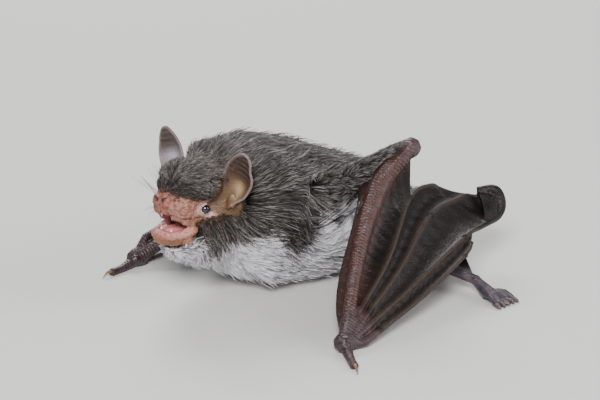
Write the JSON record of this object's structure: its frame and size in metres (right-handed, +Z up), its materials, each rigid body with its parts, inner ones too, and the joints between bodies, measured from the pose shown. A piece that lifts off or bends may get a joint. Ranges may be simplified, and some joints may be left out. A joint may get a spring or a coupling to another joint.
{
  "type": "daubenton's bat",
  "caption": "Small insect-eating bat crouched on its folded wings, head raised and mouth open, as a still life-size model.",
  "frame": {"origin": "middle of the flat on the belly, at the level of the ground", "axes": "+Z up, -X the way the body faces (the head turns a little to the bat's left), -Y the bat's left side"},
  "size_m": [0.0657, 0.0724, 0.0272],
  "materials": {
    "fur_dark": "soft grey-brown fur with silvery tips, white below",
    "face": "bare salmon-pink skin with fine grain",
    "ear": "thin brown skin, paler inside",
    "arm": "reddish-brown wrinkled skin with a sheen",
    "wing": "dark brown finely wrinkled skin",
    "foot": "grey-pink skin",
    "mouth": "moist pink skin",
    "tooth": "glossy ivory",
    "claw": "smooth horn",
    "eye": "wet black"
  },
  "bodies": {
    "root": {"head": "face", "neck": "fur_dark", "trunk": "fur_dark", "lower_jaw": "face", "upper_teeth": "tooth", "lower_teeth": "tooth", "tongue": "mouth", "tail": "foot", "eye_left": "eye", "eye_right": "eye", "ear_left": "ear", "ear_right": "ear", "tragus_left": "ear", "tragus_right": "ear", "thigh_left": "fur_dark", "thigh_right": "fur_dark", "shank_left": "foot", "shank_right": "foot", "foot_left": "foot", "foot_right": "foot", "upper_arm_left": "arm", "upper_arm_right": "arm", "forearm_left": "arm", "forearm_right": "arm", "thumb_left": "arm", "thumb_right": "arm", "thumb_claw_left": "claw", "thumb_claw_right": "claw", "finger_2_left": "wing", "finger_2_right": "wing", "finger_3_left": "wing", "finger_3_right": "wing", "finger_4_left": "wing", "finger_4_right": "wing", "finger_5_left": "wing", "finger_5_right": "wing", "propatagium_left": "wing", "propatagium_right": "wing", "membrane_arm_left": "wing", "membrane_arm_right": "wing", "membrane_5_4_left": "wing", "membrane_5_4_right": "wing", "membrane_4_3_left": "wing", "membrane_4_3_right": "wing", "membrane_3_2_left": "wing", "membrane_3_2_right": "wing", "membrane_flank_left": "wing", "membrane_flank_right": "wing", "tail_membrane_left": "wing", "tail_membrane_right": "wing"}
  },
  "joints": []
}
